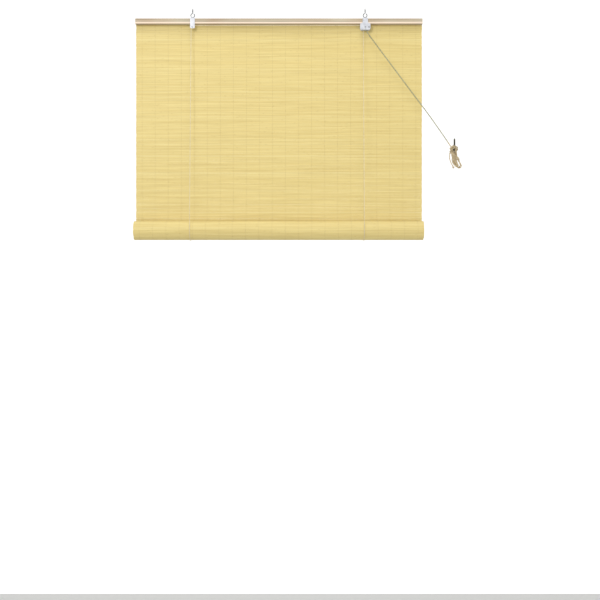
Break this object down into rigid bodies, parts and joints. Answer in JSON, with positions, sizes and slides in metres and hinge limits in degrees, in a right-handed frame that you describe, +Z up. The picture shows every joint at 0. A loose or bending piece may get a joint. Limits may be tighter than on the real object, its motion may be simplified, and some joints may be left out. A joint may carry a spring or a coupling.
{
  "type": "roll-up bamboo blind",
  "caption": "Split-bamboo roll-up blind on a wooden headrail, lifted by two cord slings through a cord lock, with its pull cord hung on a wall hook.",
  "frame": {"origin": "in the plane of the ceiling, half-way between the two screw eyes that the blind hangs from", "axes": "+X along the headrail towards the cord lock, +Z up, the room is at -Y and the wall or window at +Y"},
  "size_m": [0.9085, 0.0838, 0.6505],
  "materials": {
    "pine": "planed, unfinished",
    "bamboo": "split bamboo strips woven into a mat",
    "cotton": "twisted cotton cord",
    "white_steel": "white paint, satin",
    "nylon": "moulded, white",
    "zinc_wire": "zinc plated",
    "steel": "plain",
    "dark_steel": "dark, oiled"
  },
  "bodies": {
    "headrail_and_cords": {"headrail": "pine", "back_lath": "pine", "lath_nail_1": "steel", "lath_nail_2": "steel", "lath_nail_3": "steel", "lath_nail_4": "steel", "lath_nail_5": "steel", "screw_eye_left": "zinc_wire", "screw_eye_right": "zinc_wire", "left_hanger": "white_steel", "left_hanger_screw": "steel", "left_pulley_axle": "steel", "lock_hanger": "white_steel", "lock_hanger_screw": "steel", "lock_back_plate": "white_steel", "lock_sheave_axle": "steel", "lock_cam_axle": "steel", "mat_hanging": "bamboo", "lift_cord_front_left": "cotton", "lift_cord_front_right": "cotton", "lift_cord_back_left": "cotton", "lift_cord_back_right": "cotton", "lift_cord_cross_left": "cotton", "lift_cord_top_right": "cotton", "cord_knot_left": "cotton", "cord_knot_right": "cotton", "pull_cord": "cotton", "cord_hank": "cotton", "cord_tail": "cotton", "cord_end_knot": "cotton", "wall_hook": "dark_steel", "hook_rosette": "dark_steel"},
    "slings": {"lift_cord_sling_left": "cotton", "lift_cord_sling_right": "cotton"},
    "roll": {"mat_roll": "bamboo", "bottom_batten": "pine"},
    "left_pulley_wheel": {"left_pulley": "nylon"},
    "lock_sheave_wheel": {"lock_sheave": "nylon"},
    "cam": {"lock_cam": "steel"}
  },
  "joints": [
    {"name": "roll_lift", "type": "slide", "parent": "headrail_and_cords", "child": "slings", "axis": [0, 0, 1], "range_m": [-0.983, 0.514], "deforming": ["mat_hanging", "lift_cord_front_left", "lift_cord_front_right", "lift_cord_back_left", "lift_cord_back_right", "pull_cord"]},
    {"name": "roll_turn", "type": "hinge", "parent": "slings", "child": "roll", "pos_m": [0, -0.0194, -0.6076], "axis": [1, 0, 0], "range_deg": [-1050, 2006]},
    {"name": "left_pulley_turn", "type": "hinge", "parent": "headrail_and_cords", "child": "left_pulley_wheel", "pos_m": [-0.2405, -0.0063, -0.0398], "axis": [0, 1, 0], "continuous": true},
    {"name": "lock_sheave_turn", "type": "hinge", "parent": "headrail_and_cords", "child": "lock_sheave_wheel", "pos_m": [0.2405, -0.0047, -0.0408], "axis": [0, 1, 0], "continuous": true},
    {"name": "lock_cam_swing", "type": "hinge", "parent": "headrail_and_cords", "child": "cam", "pos_m": [0.2506, -0.0047, -0.0408], "axis": [0, 1, 0], "range_deg": [-35, 0]}
  ],
  "couplings": [
    {"joint": "roll_turn", "follows": "roll_lift", "rad_per_m": -35.587},
    {"joint": "left_pulley_turn", "follows": "roll_lift", "rad_per_m": 500},
    {"joint": "lock_sheave_turn", "follows": "roll_lift", "rad_per_m": 400}
  ]
}
